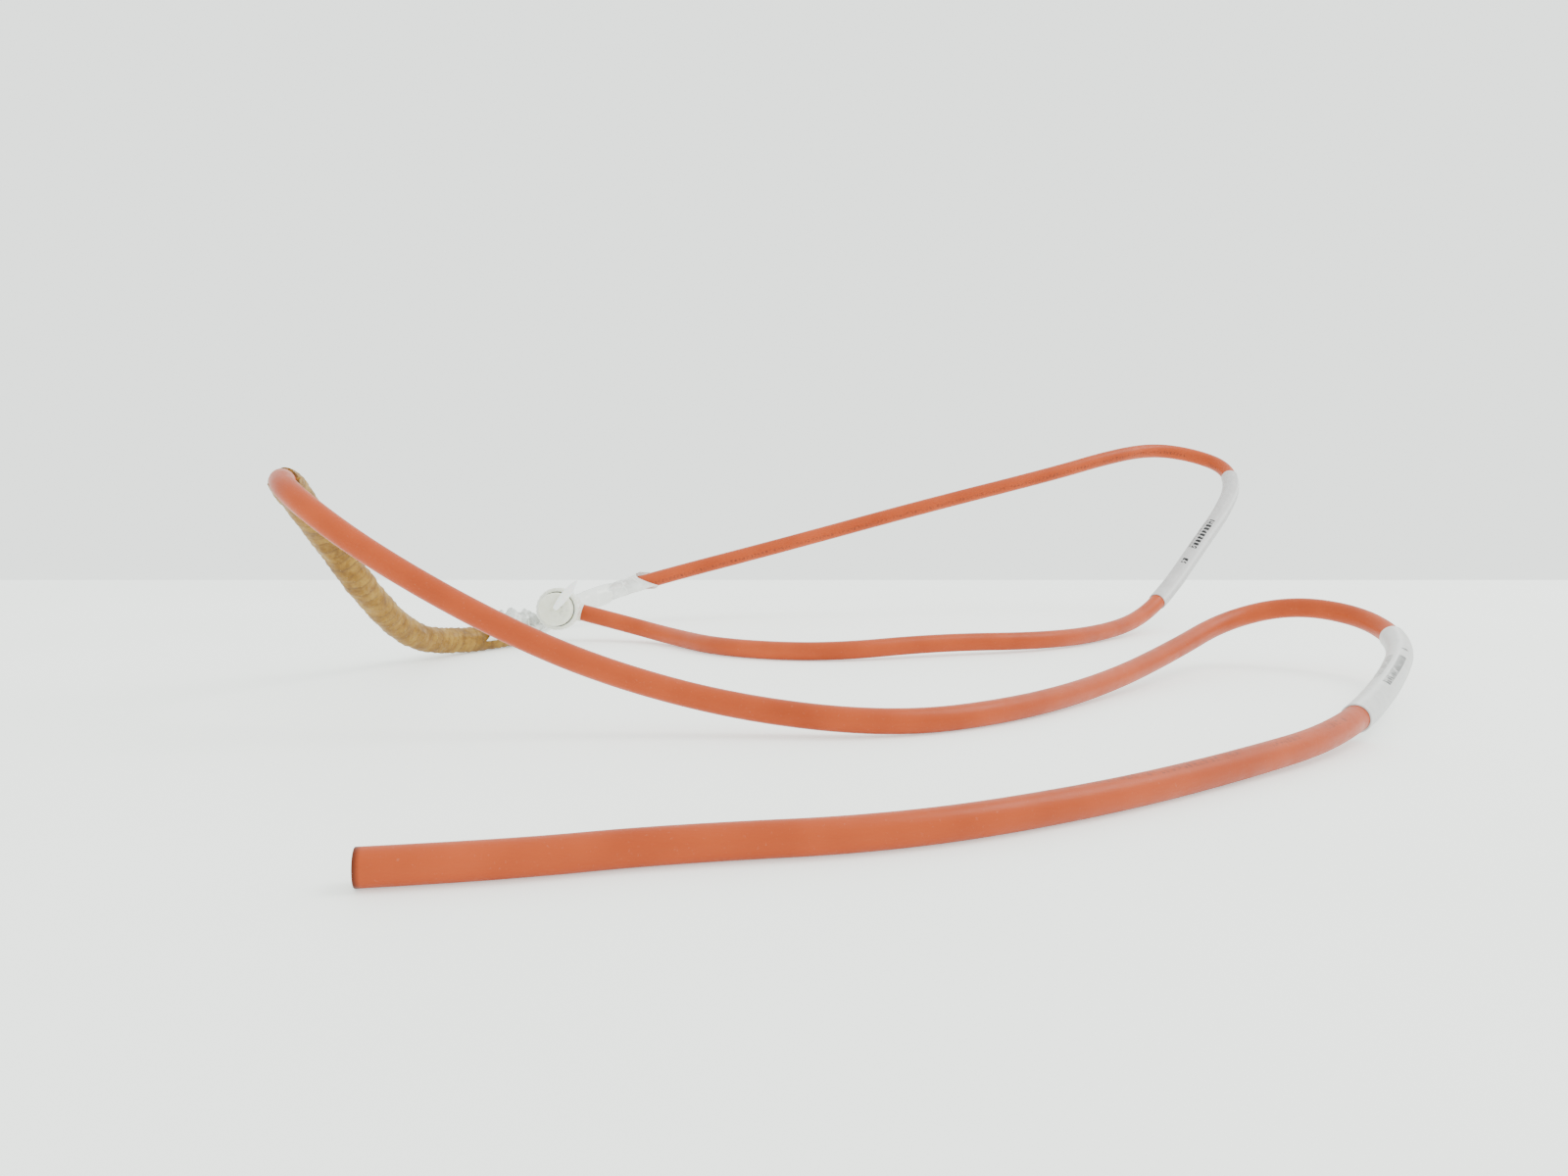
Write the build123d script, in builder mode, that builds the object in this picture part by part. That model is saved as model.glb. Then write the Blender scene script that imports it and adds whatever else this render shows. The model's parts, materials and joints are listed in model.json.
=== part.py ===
from build123d import *

import os
from math import cos, radians, sin, sqrt, tan

# Fibre optic patch cord, in millimetres, +Z up, lying on Z = 0.
# One jacketed plastic-fibre cord, bare at one end. The other end enters the side of a
# right-angle optical plug with a turning coupling ring, a sprung ferrule and a dust cap.
# Two label sleeves, a taped guard sleeve and clear wrapping film sit on the cord.

# Cord, from the jacket inwards (radii). Each layer runs freely inside the next.
JACKET_R = 3.0
JACKET_BORE = 2.3
YARN_R = 2.25
YARN_BORE = 1.2
BUFFER_R = 1.15
BUFFER_BORE = 0.55
FIBRE_R = 0.5

# What is wrapped round the cord (radii) and where it starts, measured from the bare end
FIT_GAP = 0.05
LABEL_R = 3.45
LABEL_LENGTH = 92.0
LABEL_1_AT = 221.0
LABEL_2_AT = 1215.0
GUARD_R = 3.7
TAPE_R = 4.15
TAPE_AT = 706.0
TAPE_LENGTH = 150.0
GUARD_INSET = 3.0
TUFT_LENGTH = 24.0
TUFT_R = 5.0
TUFT_TOP = 10.5
TUFT_CREST_R = 1.6
TUFT_CREST_ROUND = 1.4
FILM_R = 4.6
FILM_AT = 872.0
FILM_LENGTH = 42.0
STRIP_GAP = 3.0
STRIP_LENGTH = 15.0
STRIP_R = 5.4
STRIP_THICK = 0.4
STRIP_ANGLES = (20, 105, 200)
STRIP_SPREAD = 34

# Plug body: a flat drum with the cord entering its side and the nose on its front.
# Distances along the nose are measured from the cord's centreline.
DRUM_R = 5.8
DRUM_WALL = 1.2
DRUM_BACK = -3.6
DRUM_FRONT = 6.2
BOSS_R = 3.4
BOSS_END = 7.0
FIBRE_WINDOW_R = 0.9
FIBRE_BEND_R = 2.6
POST_R = 1.9
COVER_THICK = 1.0
SPIGOT_WALL = 0.6
SPIGOT_LENGTH = 1.0
NOSE_LIFT = 4.0

# Nose: barrel with its spring stop, spring, ferrule holder, ferrule, seal and clip
BARREL_BORE = 3.7
BARREL_LIP_BORE = 2.6
BARREL_FLANGE_END = 7.2
BARREL_R = 5.0
BARREL_STEP = 10.1
BARREL_TIP_R = 4.4
BARREL_TIP = 14.0
CLIP_GROOVE_R = 4.75
CLIP_BACK = 9.45
CLIP_THICK = 0.55
CLIP_R = 5.7
CLIP_GAP_ANGLE = 40
SEAL_AT = 12.4
SEAL_WIRE_R = 0.4
SEAL_SEAT_R = 4.1
STOP_THICK = 0.5
SPRING_R = 2.7
SPRING_WIRE_R = 0.25
SPRING_TURNS = 2
SPRING_PITCH = 0.7
HOLDER_FLANGE_R = 3.62
HOLDER_FLANGE_BACK = 10.0
HOLDER_FLANGE_FRONT = 11.0
HOLDER_R = 1.9
HOLDER_BACK = 9.2
HOLDER_FRONT = 12.6
FERRULE_R = 1.25
FERRULE_BACK = 9.2
FERRULE_TIP = 15.4
FERRULE_TRAVEL = 1.2

# Coupling ring and dust cap
RING_R = 7.5
RING_BACK = 7.5
RING_FRONT = 13.0
RING_LIP_END = 9.3
RING_LIP_BORE = 5.08
RING_BORE = 6.25
FLUTES = 24
FLUTE_R = 0.45
CAP_R = 5.85
CAP_BORE = 5.1
CAP_BACK = 10.7
CAP_INSIDE = 16.3
CAP_FRONT = 17.5
CAP_RIM_R = 0.5
TAB_LENGTH = 13.5
TAB_ROOT_WIDTH = 3.0
TAB_TIP_WIDTH = 1.6
TAB_THICK = 0.7
TAB_ANGLE = 66.0

# Where each arc may start and end on the runs beside its corner
ARC_SHARE = 0.45

# The cord's centreline, from the bare end to the plug
ROUTE = [
    (-97, -193.5, 3),
    (-77, -190, 3),
    (-53, -182, 3),
    (-17, -176, 3),
    (17, -158, 3),
    (51, -133, 3),
    (87, -104, 4),
    (119, -59, 8),
    (141, -21, 12),
    (140, 1, 17.5),
    (125, 17, 19.5),
    (104, 18, 14.5),
    (79, -8, 8),
    (52, -38, 3.5),
    (21, -73, 3),
    (-10, -91, 3),
    (-45, -88, 6.2),
    (-77, -86, 14.5),
    (-103, -86, 26),
    (-131, -85, 42),
    (-152, -78, 56),
    (-163, -54, 60),
    (-163, -29, 46),
    (-158, -8, 26),
    (-154, 19, 9),
    (-146, 42, 4.2),
    (-130, 62, 4.2),
    (-123, 88, 6),
    (-117, 114, 10),
    (-91, 139, 17),
    (-35, 151, 31),
    (25, 160, 47),
    (81, 172, 60.5),
    (112, 183, 69),
    (133, 194, 72),
    (150, 192.5, 69.5),
    (161, 181, 64),
    (159, 165, 55.5),
    (149, 149, 45),
    (134, 134, 31),
    (118, 118, 15.5),
    (103, 102, 6),
    (85, 81, 3),
    (56.5, 51, 3.5),
    (15.5, 39, 4.5),
    (-21, 25, 3),
    (-55, 36, 3),
    (-75, 66, 3),
    (-91.5, 78, 5.8),
    (-108.5, 78.5, 10.2),
]


def bend_radii(route):
    """Radius of the arc at each inner point, as large as the two runs beside it allow."""
    points = [Vector(*place) for place in route]
    radii = []
    for before, corner, after in zip(points, points[1:], points[2:]):
        run_in = corner - before
        run_out = after - corner
        shorter = min(run_in.length, run_out.length)
        half_turn = radians(run_in.get_angle(run_out)) / 2
        radii.append(ARC_SHARE * shorter / tan(half_turn))
    return radii


ARC_RADII = bend_radii(ROUTE)

with BuildLine() as route_line:
    FilletPolyline(*ROUTE, radius=ARC_RADII)
cord_line = route_line.wires()[0]
cord_start = Plane(origin=cord_line @ 0, z_dir=cord_line % 0)


def stretch(start, length):
    """The piece of the cord's line that starts this far from the bare end."""
    return cord_line.trim(start / cord_line.length, (start + length) / cord_line.length)


def section_plane(line):
    """The plane square to a line at its start, with its own y axis as near up as it can be."""
    along = line % 0
    sideways = Vector(0, 0, 1).cross(along)
    return Plane(origin=line @ 0, x_dir=sideways, z_dir=along)


# ---- the cord's four layers, cut off square together at both ends ----

with BuildPart() as outer_jacket:
    with BuildSketch(cord_start):
        Circle(JACKET_R)
        Circle(JACKET_BORE, mode=Mode.SUBTRACT)
    sweep(path=cord_line)

with BuildPart() as strength_yarn:
    with BuildSketch(cord_start):
        Circle(YARN_R)
        Circle(YARN_BORE, mode=Mode.SUBTRACT)
    sweep(path=cord_line)

with BuildPart() as inner_buffer:
    with BuildSketch(cord_start):
        Circle(BUFFER_R)
        Circle(BUFFER_BORE, mode=Mode.SUBTRACT)
    sweep(path=cord_line)

with BuildPart() as optical_fibre:
    with BuildSketch(cord_start):
        Circle(FIBRE_R)
    sweep(path=cord_line)

# ---- sleeves, tape and film on the cord ----

label_1_line = stretch(LABEL_1_AT, LABEL_LENGTH)
with BuildPart() as label_sleeve_1:
    with BuildSketch(section_plane(label_1_line)):
        Circle(LABEL_R)
        Circle(JACKET_R + FIT_GAP, mode=Mode.SUBTRACT)
    sweep(path=label_1_line)

label_2_line = stretch(LABEL_2_AT, LABEL_LENGTH)
with BuildPart() as label_sleeve_2:
    with BuildSketch(section_plane(label_2_line)):
        Circle(LABEL_R)
        Circle(JACKET_R + FIT_GAP, mode=Mode.SUBTRACT)
    sweep(path=label_2_line)

guard_line = stretch(TAPE_AT + GUARD_INSET, TAPE_LENGTH - 2 * GUARD_INSET)
with BuildPart() as guard_sleeve:
    with BuildSketch(section_plane(guard_line)):
        Circle(GUARD_R)
        Circle(JACKET_R + FIT_GAP, mode=Mode.SUBTRACT)
    sweep(path=guard_line)

tape_line = stretch(TAPE_AT, TAPE_LENGTH)
with BuildPart() as amber_tape:
    with BuildSketch(section_plane(tape_line)):
        Circle(TAPE_R)
        Circle(GUARD_R + FIT_GAP, mode=Mode.SUBTRACT)
    sweep(path=tape_line)

# Crumpled film lying over the end of the tape: an arch with a raised crest
tuft_line = stretch(TAPE_AT + TAPE_LENGTH - TUFT_LENGTH, TUFT_LENGTH)
with BuildPart() as film_tuft:
    with BuildSketch(section_plane(tuft_line)):
        Circle(TUFT_R)
        with Locations((0, TUFT_TOP / 2)):
            RectangleRounded(2 * TUFT_CREST_R, TUFT_TOP, TUFT_CREST_ROUND)
        Circle(TAPE_R + FIT_GAP, mode=Mode.SUBTRACT)
        with Locations((0, -TUFT_R)):
            Rectangle(2 * TUFT_R, 2 * TUFT_R, mode=Mode.SUBTRACT)
    sweep(path=tuft_line)

film_line = stretch(FILM_AT, FILM_LENGTH)
with BuildPart() as film_sleeve:
    with BuildSketch(section_plane(film_line)):
        Circle(FILM_R)
        Circle(JACKET_R + FIT_GAP, mode=Mode.SUBTRACT)
    sweep(path=film_line)

# Torn strips of film past the sleeve, each a narrow part of one thin tube
strip_line = stretch(FILM_AT + FILM_LENGTH + STRIP_GAP, STRIP_LENGTH)
with BuildPart() as film_strips:
    with BuildSketch(section_plane(strip_line)):
        for angle in STRIP_ANGLES:
            with BuildLine():
                inner_arc = CenterArc((0, 0), STRIP_R - STRIP_THICK, angle, STRIP_SPREAD)
                outer_arc = CenterArc((0, 0), STRIP_R, angle, STRIP_SPREAD)
                Line(inner_arc @ 0, outer_arc @ 0)
                Line(inner_arc @ 1, outer_arc @ 1)
            make_face()
    sweep(path=strip_line)

# ---- the right-angle plug, in its own plane ----
# Plug x runs back along the cord, z along the nose, y upwards.

cord_end = cord_line @ 1
cord_out = cord_line % 1
level_nose = Vector(-cord_out.Y, cord_out.X, 0).normalized()
level_nose = level_nose if level_nose.Y < 0 else level_nose * -1
nose_up = (cord_out * -1).cross(level_nose) * -1
nose = level_nose * cos(radians(NOSE_LIFT)) + nose_up * sin(radians(NOSE_LIFT))
plug = Plane(origin=cord_end + cord_out * BOSS_END, x_dir=cord_out * -1, z_dir=nose)
plug_profile = Plane(origin=plug.origin, x_dir=plug.x_dir, z_dir=plug.y_dir * -1)
nose_axis = Axis(plug.origin, plug.z_dir)
CAVITY_R = DRUM_R - DRUM_WALL
CAVITY_FRONT = DRUM_FRONT - DRUM_WALL
# The side bore has to reach the cavity's curved wall over its whole width
BORE_INNER_END = sqrt(CAVITY_R**2 - JACKET_BORE**2) - FIT_GAP


def across_cord(x):
    """The plane square to the cord's end, at this distance from the plug's centre."""
    return Plane(origin=plug.origin + plug.x_dir * x, x_dir=plug.y_dir, z_dir=plug.x_dir)


# Hollow of the drum, less the post that the fibre bends round
with BuildPart() as drum_cavity:
    with BuildSketch(plug.offset(DRUM_BACK)):
        Circle(CAVITY_R)
    extrude(amount=CAVITY_FRONT - DRUM_BACK)
    with BuildSketch(plug_profile):
        with Locations((FIBRE_BEND_R, FIBRE_BEND_R)):
            Circle(POST_R)
    extrude(amount=DRUM_R, both=True, mode=Mode.SUBTRACT)

with BuildPart() as plug_housing:
    with BuildSketch(plug.offset(DRUM_BACK)):
        Circle(DRUM_R)
    extrude(amount=DRUM_FRONT - DRUM_BACK)
    add(drum_cavity.part, mode=Mode.SUBTRACT)
    with BuildSketch(plug.offset(CAVITY_FRONT)):
        Circle(FIBRE_WINDOW_R)
    extrude(amount=DRUM_WALL, mode=Mode.SUBTRACT)
    with BuildSketch(across_cord(BOSS_END)):
        Circle(BOSS_R)
    extrude(amount=-(BOSS_END - CAVITY_R - FIT_GAP))
    with BuildSketch(across_cord(BOSS_END)):
        Circle(JACKET_BORE)
    extrude(amount=-(BOSS_END - BORE_INNER_END), mode=Mode.SUBTRACT)

with BuildPart() as back_cover:
    with BuildSketch(plug.offset(DRUM_BACK - COVER_THICK)):
        Circle(DRUM_R)
    extrude(amount=COVER_THICK)
    with BuildSketch(plug.offset(DRUM_BACK)):
        Circle(CAVITY_R)
        Circle(CAVITY_R - SPIGOT_WALL, mode=Mode.SUBTRACT)
    extrude(amount=SPIGOT_LENGTH)
    chamfer(back_cover.faces().sort_by(nose_axis)[0].edges(), COVER_THICK / 3)

CRIMP_LENGTH = BOSS_END - CAVITY_R
with BuildPart() as crimp_tube:
    with BuildSketch(across_cord(CAVITY_R)):
        Circle(JACKET_BORE)
        Circle(YARN_BORE, mode=Mode.SUBTRACT)
    extrude(amount=CRIMP_LENGTH)

FIBRE_TIP = FERRULE_TIP - FERRULE_TRAVEL
with BuildPart() as fibre_tail:
    with BuildLine(plug_profile) as tail_line:
        tail_in = Line((BOSS_END, 0), (FIBRE_BEND_R, 0))
        tail_bend = RadiusArc(tail_in @ 1, (0, FIBRE_BEND_R), FIBRE_BEND_R)
        Line(tail_bend @ 1, (0, FIBRE_TIP))
    with BuildSketch(across_cord(BOSS_END)):
        Circle(FIBRE_R)
    sweep(path=tail_line.wires()[0])

with BuildPart() as nose_barrel:
    with BuildSketch(plug_profile):
        with BuildLine():
            Polyline(
                (BARREL_BORE, DRUM_FRONT),
                (DRUM_R, DRUM_FRONT),
                (DRUM_R, BARREL_FLANGE_END),
                (BARREL_R, BARREL_FLANGE_END),
                (BARREL_R, CLIP_BACK),
                (CLIP_GROOVE_R, CLIP_BACK),
                (CLIP_GROOVE_R, CLIP_BACK + CLIP_THICK),
                (BARREL_R, CLIP_BACK + CLIP_THICK),
                (BARREL_R, BARREL_STEP),
                (BARREL_TIP_R, BARREL_STEP),
                (BARREL_TIP_R, SEAL_AT - SEAL_WIRE_R),
                (SEAL_SEAT_R, SEAL_AT - SEAL_WIRE_R),
                (SEAL_SEAT_R, SEAL_AT + SEAL_WIRE_R),
                (BARREL_TIP_R, SEAL_AT + SEAL_WIRE_R),
                (BARREL_TIP_R, BARREL_TIP),
                (BARREL_LIP_BORE, BARREL_TIP),
                (BARREL_LIP_BORE, HOLDER_FLANGE_FRONT),
                (BARREL_BORE, HOLDER_FLANGE_FRONT),
                close=True,
            )
        make_face()
    revolve(axis=nose_axis)

with BuildPart() as spring_stop:
    with BuildSketch(plug.offset(DRUM_FRONT)):
        Circle(BARREL_BORE)
        Circle(FIBRE_WINDOW_R, mode=Mode.SUBTRACT)
    extrude(amount=STOP_THICK)

# The spring is drawn as short as it is with the ferrule pressed fully in
SPRING_SEAT = DRUM_FRONT + STOP_THICK + SPRING_WIRE_R
with BuildPart() as ferrule_spring:
    with BuildLine() as spring_line:
        Helix(
            SPRING_PITCH,
            SPRING_PITCH * SPRING_TURNS,
            SPRING_R,
            center=plug.offset(SPRING_SEAT).origin,
            direction=plug.z_dir,
        )
    spring_wire = spring_line.edges()[0]
    with BuildSketch(Plane(origin=spring_wire @ 0, z_dir=spring_wire % 0)):
        Circle(SPRING_WIRE_R)
    sweep(path=spring_wire, is_frenet=True)

with BuildPart() as ferrule_holder:
    with BuildSketch(plug_profile):
        with BuildLine():
            Polyline(
                (FERRULE_R, HOLDER_BACK),
                (HOLDER_R, HOLDER_BACK),
                (HOLDER_R, HOLDER_FLANGE_BACK),
                (HOLDER_FLANGE_R, HOLDER_FLANGE_BACK),
                (HOLDER_FLANGE_R, HOLDER_FLANGE_FRONT),
                (HOLDER_R, HOLDER_FLANGE_FRONT),
                (HOLDER_R, HOLDER_FRONT),
                (FERRULE_R, HOLDER_FRONT),
                close=True,
            )
        make_face()
    revolve(axis=nose_axis)

with BuildPart() as ferrule:
    with BuildSketch(plug.offset(FERRULE_BACK)):
        Circle(FERRULE_R)
        Circle(BUFFER_BORE, mode=Mode.SUBTRACT)
    extrude(amount=FERRULE_TIP - FERRULE_BACK)
    tip_face = ferrule.faces().sort_by(nose_axis)[-1]
    chamfer(tip_face.edges().sort_by(SortBy.RADIUS)[-1], FERRULE_R / 5)

with BuildPart() as seal_ring:
    with BuildSketch(plug_profile):
        with Locations((SEAL_SEAT_R + SEAL_WIRE_R, SEAL_AT)):
            Circle(SEAL_WIRE_R)
    revolve(axis=nose_axis)

# Open retaining ring in the barrel's groove
with BuildPart() as retaining_clip:
    with BuildSketch(plug.offset(CLIP_BACK)):
        Circle(CLIP_R)
        Circle(CLIP_GROOVE_R, mode=Mode.SUBTRACT)
        with BuildLine():
            gap_side = Line((0, 0), (CLIP_R * 2, -CLIP_R * 2 * tan(radians(CLIP_GAP_ANGLE / 2))))
            Line(gap_side @ 1, (CLIP_R * 2, -(gap_side @ 1).Y))
            Line((CLIP_R * 2, -(gap_side @ 1).Y), (0, 0))
        make_face(mode=Mode.SUBTRACT)
    extrude(amount=CLIP_THICK)

with BuildPart() as coupling_ring:
    with BuildSketch(plug.offset(RING_BACK)):
        Circle(RING_R)
        with PolarLocations(RING_R + FLUTE_R / 2, FLUTES):
            Circle(FLUTE_R, mode=Mode.SUBTRACT)
        Circle(RING_LIP_BORE, mode=Mode.SUBTRACT)
    extrude(amount=RING_FRONT - RING_BACK)
    with BuildSketch(plug.offset(RING_LIP_END)):
        Circle(RING_BORE)
    extrude(amount=RING_FRONT - RING_LIP_END, mode=Mode.SUBTRACT)

with BuildPart() as dust_cap:
    with BuildSketch(plug.offset(CAP_BACK)):
        Circle(CAP_R)
    extrude(amount=CAP_FRONT - CAP_BACK)
    fillet(dust_cap.faces().sort_by(nose_axis)[-1].edges(), CAP_RIM_R)
    with BuildSketch(plug.offset(CAP_BACK)):
        Circle(CAP_BORE)
    extrude(amount=CAP_INSIDE - CAP_BACK, mode=Mode.SUBTRACT)

# Tapered tab standing out sideways from the middle of the cap's face
tab_along = plug.x_dir * cos(radians(TAB_ANGLE)) + plug.y_dir * sin(radians(TAB_ANGLE))
tab_plane = Plane(origin=plug.offset(CAP_FRONT).origin, x_dir=tab_along, z_dir=plug.z_dir)
with BuildPart() as pull_tab:
    with BuildSketch(tab_plane) as tab_outline:
        with BuildLine():
            Polyline(
                (0, -TAB_ROOT_WIDTH / 2),
                (TAB_LENGTH, -TAB_TIP_WIDTH / 2),
                (TAB_LENGTH, TAB_TIP_WIDTH / 2),
                (0, TAB_ROOT_WIDTH / 2),
                close=True,
            )
        make_face()
        fillet(tab_outline.vertices(), TAB_TIP_WIDTH / 3)
    extrude(amount=TAB_THICK)

NODES = {
    "outer_jacket": outer_jacket,
    "strength_yarn": strength_yarn,
    "inner_buffer": inner_buffer,
    "optical_fibre": optical_fibre,
    "label_sleeve_1": label_sleeve_1,
    "label_sleeve_2": label_sleeve_2,
    "guard_sleeve": guard_sleeve,
    "amber_tape": amber_tape,
    "film_tuft": film_tuft,
    "film_sleeve": film_sleeve,
    "film_strips": film_strips,
    "plug_housing": plug_housing,
    "back_cover": back_cover,
    "crimp_tube": crimp_tube,
    "fibre_tail": fibre_tail,
    "nose_barrel": nose_barrel,
    "spring_stop": spring_stop,
    "ferrule_spring": ferrule_spring,
    "ferrule_holder": ferrule_holder,
    "ferrule": ferrule,
    "seal_ring": seal_ring,
    "retaining_clip": retaining_clip,
    "coupling_ring": coupling_ring,
    "dust_cap": dust_cap,
    "pull_tab": pull_tab,
}

os.makedirs("parts", exist_ok=True)
for name, node in NODES.items():
    node.part.label = name
    export_step(node.part, f"parts/{name}.step")

print("arc radii, mm:", [round(radius, 1) for radius in ARC_RADII])
print("cord length, mm:", round(cord_line.length, 1))
ring_area = Circle(JACKET_R).area - Circle(JACKET_BORE).area
print("jacket volume / (section x length):", outer_jacket.part.volume / (ring_area * cord_line.length))
print("plug centre, mm:", plug.origin, "nose axis:", plug.z_dir, "cord end:", cord_end)
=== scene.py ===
import json
import math
from collections import namedtuple

import bpy
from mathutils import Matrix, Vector, noise


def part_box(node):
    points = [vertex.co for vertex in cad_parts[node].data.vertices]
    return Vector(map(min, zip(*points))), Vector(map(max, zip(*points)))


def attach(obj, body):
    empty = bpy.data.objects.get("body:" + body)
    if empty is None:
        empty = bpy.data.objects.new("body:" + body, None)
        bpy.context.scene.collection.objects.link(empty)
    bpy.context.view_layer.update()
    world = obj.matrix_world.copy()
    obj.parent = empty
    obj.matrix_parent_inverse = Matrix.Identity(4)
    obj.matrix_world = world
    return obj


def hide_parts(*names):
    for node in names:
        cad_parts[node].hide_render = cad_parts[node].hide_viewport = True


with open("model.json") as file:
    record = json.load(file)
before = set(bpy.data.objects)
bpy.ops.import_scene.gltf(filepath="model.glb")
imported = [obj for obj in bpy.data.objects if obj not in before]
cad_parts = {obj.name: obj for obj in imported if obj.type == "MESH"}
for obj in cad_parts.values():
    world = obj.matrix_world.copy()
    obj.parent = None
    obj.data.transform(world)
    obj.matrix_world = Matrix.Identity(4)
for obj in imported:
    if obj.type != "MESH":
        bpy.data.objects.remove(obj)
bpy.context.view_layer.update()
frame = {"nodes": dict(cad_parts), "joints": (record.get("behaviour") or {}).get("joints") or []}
nodes = frame["nodes"]

MM = 0.001
ROOT = "cord_and_plug"

# The cord's route from the bare end to the plug, as the CAD model has it
ROUTE = [
    (-0.097, -0.1935, 0.003),
    (-0.077, -0.190, 0.003),
    (-0.053, -0.182, 0.003),
    (-0.017, -0.176, 0.003),
    (0.017, -0.158, 0.003),
    (0.051, -0.133, 0.003),
    (0.087, -0.104, 0.004),
    (0.119, -0.059, 0.008),
    (0.141, -0.021, 0.012),
    (0.140, 0.001, 0.0175),
    (0.125, 0.017, 0.0195),
    (0.104, 0.018, 0.0145),
    (0.079, -0.008, 0.008),
    (0.052, -0.038, 0.0035),
    (0.021, -0.073, 0.003),
    (-0.010, -0.091, 0.003),
    (-0.045, -0.088, 0.0062),
    (-0.077, -0.086, 0.0145),
    (-0.103, -0.086, 0.026),
    (-0.131, -0.085, 0.042),
    (-0.152, -0.078, 0.056),
    (-0.163, -0.054, 0.060),
    (-0.163, -0.029, 0.046),
    (-0.158, -0.008, 0.026),
    (-0.154, 0.019, 0.009),
    (-0.146, 0.042, 0.0042),
    (-0.130, 0.062, 0.0042),
    (-0.123, 0.088, 0.006),
    (-0.117, 0.114, 0.010),
    (-0.091, 0.139, 0.017),
    (-0.035, 0.151, 0.031),
    (0.025, 0.160, 0.047),
    (0.081, 0.172, 0.0605),
    (0.112, 0.183, 0.069),
    (0.133, 0.194, 0.072),
    (0.150, 0.1925, 0.0695),
    (0.161, 0.181, 0.064),
    (0.159, 0.165, 0.0555),
    (0.149, 0.149, 0.045),
    (0.134, 0.134, 0.031),
    (0.118, 0.118, 0.0155),
    (0.103, 0.102, 0.006),
    (0.085, 0.081, 0.003),
    (0.0565, 0.051, 0.0035),
    (0.0155, 0.039, 0.0045),
    (-0.021, 0.025, 0.003),
    (-0.055, 0.036, 0.003),
    (-0.075, 0.066, 0.003),
    (-0.0915, 0.078, 0.0058),
    (-0.1085, 0.0785, 0.0102),
]

# Radii of the cord's layers and of the sleeves on it
JACKET_R = 3.0 * MM
JACKET_BORE = 2.3 * MM
YARN_R = 2.2 * MM
YARN_BORE = 1.2 * MM
BUFFER_R = 1.15 * MM
BUFFER_BORE = 0.55 * MM
FIBRE_R = 0.5 * MM
SLEEVE_BORE = 3.05 * MM
LABEL_R = 3.42 * MM
LABEL_PRINT_R = 3.45 * MM
GUARD_R = 3.68 * MM

# Lowest height of a tube's skin, a hair above the table
FLOOR = 0.00003

# Where things lie along the cord, in metres from the bare end
LABEL_1 = (0.221, 0.312)
LABEL_2 = (1.214, 1.308)
TAPE = (0.706, 0.857)
FILM_WRAP = (0.859, 0.914)
FILM_TORN = (0.911, 0.934)
FILM_CRUMPLE = (0.832, 0.861)


# ---- camera, light and table ----

CAMERA_PLACE = (-0.035, -0.366, 0.059)
CAMERA_PITCH = 5.12
SENSOR_WIDTH = 36
FOCAL_LENGTH = 28.125

TABLE_HALF = 3.0
TABLE_BACK = 0.345


def add_camera():
    camera = bpy.data.cameras.new("camera")
    camera.sensor_width = SENSOR_WIDTH
    camera.lens = FOCAL_LENGTH
    camera.clip_start = 0.01
    holder = bpy.data.objects.new("camera", camera)
    holder.location = CAMERA_PLACE
    holder.rotation_euler = (math.radians(90 - CAMERA_PITCH), 0, 0)
    bpy.context.scene.collection.objects.link(holder)
    bpy.context.scene.camera = holder


def add_area_light(name, place, aim, size, power, colour):
    light = bpy.data.lights.new(name, "AREA")
    light.shape = "DISK"
    light.size = size
    light.energy = power
    light.color = colour
    holder = bpy.data.objects.new(name, light)
    holder.location = place
    holder.rotation_euler = (Vector(aim) - Vector(place)).to_track_quat("-Z", "Y").to_euler()
    bpy.context.scene.collection.objects.link(holder)


def add_world(colour, strength):
    world = bpy.data.worlds.new("studio")
    bpy.context.scene.world = world
    world.use_nodes = True
    background = world.node_tree.nodes["Background"]
    background.inputs["Color"].default_value = (*colour, 1)
    background.inputs["Strength"].default_value = strength


def add_table(material):
    """A flat table top at height 0, whose back edge is where the photo's table ends."""
    left, right, near, far = -TABLE_HALF, TABLE_HALF, -TABLE_HALF, TABLE_BACK
    mesh = bpy.data.meshes.new("table")
    mesh.from_pydata([(left, near, 0), (right, near, 0), (right, far, 0), (left, far, 0)], [], [(0, 1, 2, 3)])
    table = bpy.data.objects.new("table", mesh)
    table.data.materials.append(material)
    bpy.context.scene.collection.objects.link(table)


# ---- shader helpers ----

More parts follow.
